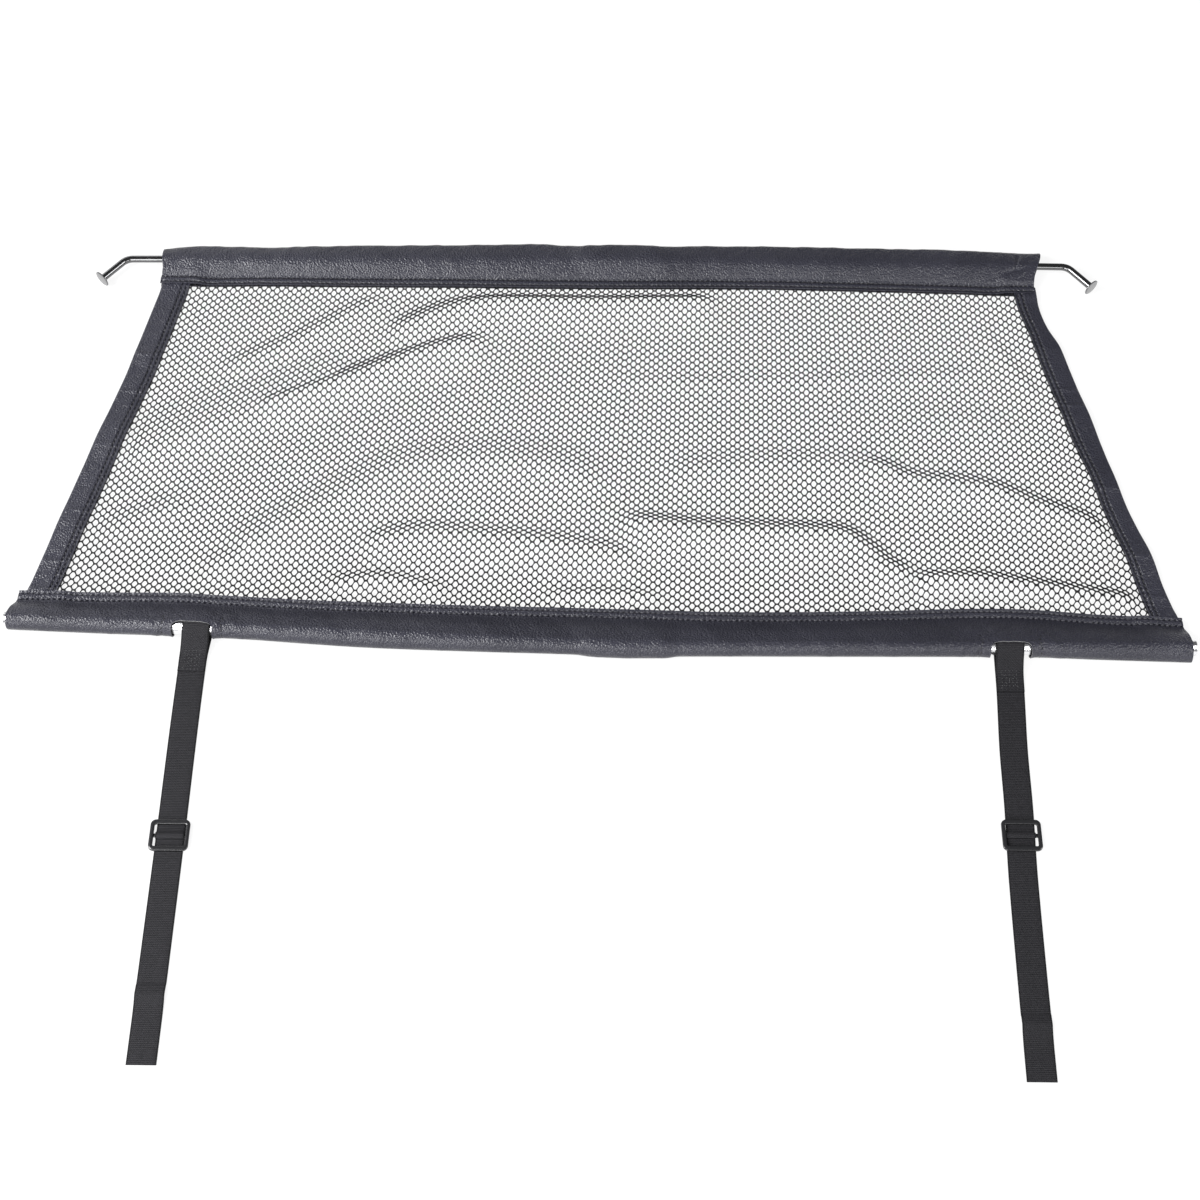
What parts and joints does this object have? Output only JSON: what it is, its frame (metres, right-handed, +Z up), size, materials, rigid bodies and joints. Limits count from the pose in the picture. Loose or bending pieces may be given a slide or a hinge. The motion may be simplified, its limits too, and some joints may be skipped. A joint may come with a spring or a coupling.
{
  "type": "car dog barrier net with its top rod and bottom tube",
  "caption": "Trapezoid mesh pet barrier for a car, with a rod in its top sleeve, a tube in its bottom sleeve and two adjustable straps, laid flat.",
  "frame": {"origin": "under the middle of the bounding box, on the floor that the net lies on", "axes": "+X along the top rod, +Y from the straps towards the top rod, +Z up from the floor"},
  "size_m": [1.226, 0.9784, 0.023],
  "materials": {
    "leatherette": "pebble-grained dark blue-grey leatherette, semi-matte",
    "mesh_cloth": "black knitted polyester mesh with hexagonal holes",
    "webbing": "black ribbed polyester webbing",
    "dark_metal": "dark polished gunmetal plating",
    "bright_metal": "bright drawn tube",
    "black_plastic": "black moulded plastic, satin"
  },
  "bodies": {
    "root": {"net": "mesh_cloth", "top_sleeve": "leatherette", "bottom_sleeve": "leatherette", "side_binding_left": "leatherette", "side_binding_right": "leatherette", "top_rod_left": "dark_metal", "top_rod_right": "dark_metal", "top_rod_joiner": "dark_metal", "disc_left": "dark_metal", "disc_right": "dark_metal", "bottom_tube_left": "bright_metal", "bottom_tube_right": "bright_metal", "tube_joiner": "bright_metal", "strap_left": "webbing", "strap_right": "webbing", "triglide_left": "black_plastic", "triglide_right": "black_plastic"}
  },
  "joints": []
}
